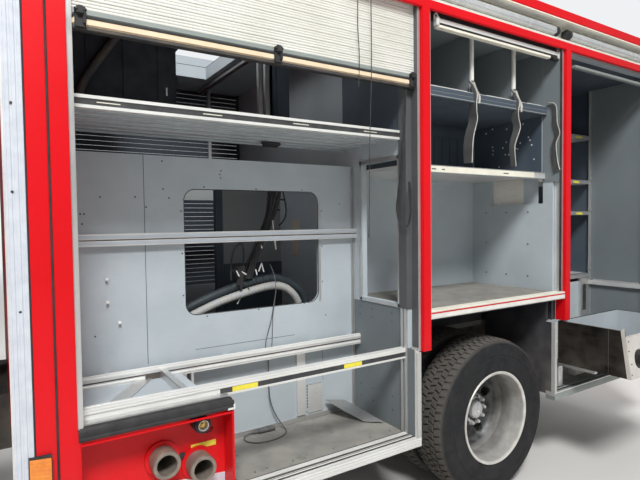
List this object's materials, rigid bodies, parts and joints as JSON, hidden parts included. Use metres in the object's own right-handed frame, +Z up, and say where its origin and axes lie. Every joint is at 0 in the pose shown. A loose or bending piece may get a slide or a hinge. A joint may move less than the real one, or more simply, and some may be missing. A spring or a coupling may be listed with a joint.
{
  "type": "pumper fire truck",
  "caption": "Red pumper fire truck with a tilting crew cab and an aluminium equipment body, its left lockers open under raised shutters, one drawer pulled out.",
  "frame": {"origin": "on the ground under the middle of the truck's length, in its centre plane", "axes": "+X forward towards the cab, +Y to the truck's left, +Z up"},
  "size_m": [7.8, 3.14, 3.236],
  "materials": {
    "red_paint": "gloss",
    "locker_grey": "satin",
    "floor_board": "matt",
    "alloy_profile": "satin",
    "white_paint": "satin",
    "shutter_slats": "satin",
    "tube_glass": "gloss",
    "dark_liner": "matt",
    "black_plastic": "matt",
    "chassis_grey": "satin",
    "engine_cast": "matt",
    "tank_alloy": "satin",
    "lamp_lens": "gloss",
    "pipe_metal": "satin",
    "cable_rubber": "matt",
    "webbing": "woven",
    "cab_window": "clear",
    "seat_cloth": "woven",
    "blue_lens": "gloss",
    "tyre_rubber": "matt",
    "wheel_silver": "satin",
    "film_plywood": "film faced"
  },
  "bodies": {
    "root": {"area_lights": "tube_glass", "body_frame": "red_paint", "body_roof": "locker_grey", "bulkheads": "locker_grey", "cab_steps": "black_plastic", "cable_plug": "cable_rubber", "chassis_frame": "chassis_grey", "closed_shutters": "shutter_slats", "engine_block": "engine_cast", "front_axle": "chassis_grey", "front_bumper": "black_plastic", "fuel_tanks": "tank_alloy", "inner_walls": "locker_grey", "lamps": "lamp_lens", "left_shutters": "shutter_slats", "light_channels": "white_paint", "locker1_cable": "cable_rubber", "locker1_fittings": "alloy_profile", "locker_back_walls": "locker_grey", "locker_floors": "floor_board", "locker_shelves": "alloy_profile", "pump_niches": "red_paint", "pump_ports": "pipe_metal", "rear_axle": "chassis_grey", "rear_ladder": "alloy_profile", "rear_panel": "red_paint", "side_profiles": "alloy_profile", "straps": "webbing", "wheel_housings": "dark_liner"},
    "cab": {"cab_shell": "red_paint", "cab_floor": "black_plastic", "cab_glass": "cab_window", "front_panel": "black_plastic", "cab_seats": "seat_cloth", "dashboard": "black_plastic", "mirrors": "black_plastic", "beacons": "blue_lens"},
    "steer_left": {"knuckle_left": "chassis_grey"},
    "steer_right": {"knuckle_right": "chassis_grey"},
    "front_wheel_left": {"tyre_front_left": "tyre_rubber", "rim_front_left": "wheel_silver"},
    "front_wheel_right": {"tyre_front_right": "tyre_rubber", "rim_front_right": "wheel_silver"},
    "rear_wheels_left": {"tyres_rear_left": "tyre_rubber", "rims_rear_left": "wheel_silver"},
    "rear_wheels_right": {"tyres_rear_right": "tyre_rubber", "rims_rear_right": "wheel_silver"},
    "slides": {"drawer_slides": "alloy_profile"},
    "drawer_box": {"drawer": "film_plywood"},
    "flap_front": {"step_flap_front": "red_paint"},
    "flap_rear": {"step_flap_rear": "red_paint"},
    "front_door_left": {"door_front_left": "red_paint", "door_glass_front_left": "cab_window"},
    "rear_door_left": {"door_rear_left": "red_paint", "door_glass_rear_left": "cab_window"},
    "front_door_right": {"door_front_right": "red_paint", "door_glass_front_right": "cab_window"},
    "rear_door_right": {"door_rear_right": "red_paint", "door_glass_rear_right": "cab_window"}
  },
  "joints": [
    {"name": "cab_tilt", "type": "hinge", "parent": "root", "child": "cab", "pos_m": [3.8, 0, 0.8], "axis": [0, 1, 0], "range_deg": [0, 50]},
    {"name": "front_door_left_hinge", "type": "hinge", "parent": "cab", "child": "front_door_left", "pos_m": [3.645, 1.18, 1.9], "axis": [0, 0, -1], "range_deg": [0, 70]},
    {"name": "rear_door_left_hinge", "type": "hinge", "parent": "cab", "child": "rear_door_left", "pos_m": [2.66, 1.18, 1.9], "axis": [0, 0, -1], "range_deg": [0, 70]},
    {"name": "steer_left_kingpin", "type": "hinge", "parent": "root", "child": "steer_left", "pos_m": [2.46, 0.96, 0.505], "axis": [0, 0, 1], "range_deg": [-35, 35]},
    {"name": "front_wheel_left_spin", "type": "hinge", "parent": "steer_left", "child": "front_wheel_left", "pos_m": [2.46, 1.0825, 0.505], "axis": [0, 1, 0], "continuous": true},
    {"name": "rear_wheels_left_spin", "type": "hinge", "parent": "root", "child": "rear_wheels_left", "pos_m": [-1.74, 0.9275, 0.505], "axis": [0, 1, 0], "continuous": true},
    {"name": "front_door_right_hinge", "type": "hinge", "parent": "cab", "child": "front_door_right", "pos_m": [3.645, -1.18, 1.9], "axis": [0, 0, 1], "range_deg": [0, 70]},
    {"name": "rear_door_right_hinge", "type": "hinge", "parent": "cab", "child": "rear_door_right", "pos_m": [2.66, -1.18, 1.9], "axis": [0, 0, 1], "range_deg": [0, 70]},
    {"name": "steer_right_kingpin", "type": "hinge", "parent": "root", "child": "steer_right", "pos_m": [2.46, -0.96, 0.505], "axis": [0, 0, 1], "range_deg": [-35, 35]},
    {"name": "front_wheel_right_spin", "type": "hinge", "parent": "steer_right", "child": "front_wheel_right", "pos_m": [2.46, -1.0825, 0.505], "axis": [0, 1, 0], "continuous": true},
    {"name": "rear_wheels_right_spin", "type": "hinge", "parent": "root", "child": "rear_wheels_right", "pos_m": [-1.74, -0.9275, 0.505], "axis": [0, 1, 0], "continuous": true},
    {"name": "drawer_rails", "type": "slide", "parent": "root", "child": "slides", "axis": [0, 1, 0], "range_m": [-0.25, 0]},
    {"name": "drawer_pull", "type": "slide", "parent": "slides", "child": "drawer_box", "axis": [0, 1, 0], "range_m": [-0.25, 0]},
    {"name": "flap_front_hinge", "type": "hinge", "parent": "root", "child": "flap_front", "pos_m": [-0.4645, -1.254, 0.562], "axis": [1, 0, 0], "range_deg": [0, 90]},
    {"name": "flap_rear_hinge", "type": "hinge", "parent": "root", "child": "flap_rear", "pos_m": [-3.051, -1.254, 0.562], "axis": [1, 0, 0], "range_deg": [0, 90]}
  ],
  "couplings": [
    {"joint": "steer_right_kingpin", "follows": "steer_left_kingpin", "ratio": 1},
    {"joint": "drawer_pull", "follows": "drawer_rails", "ratio": 1}
  ]
}
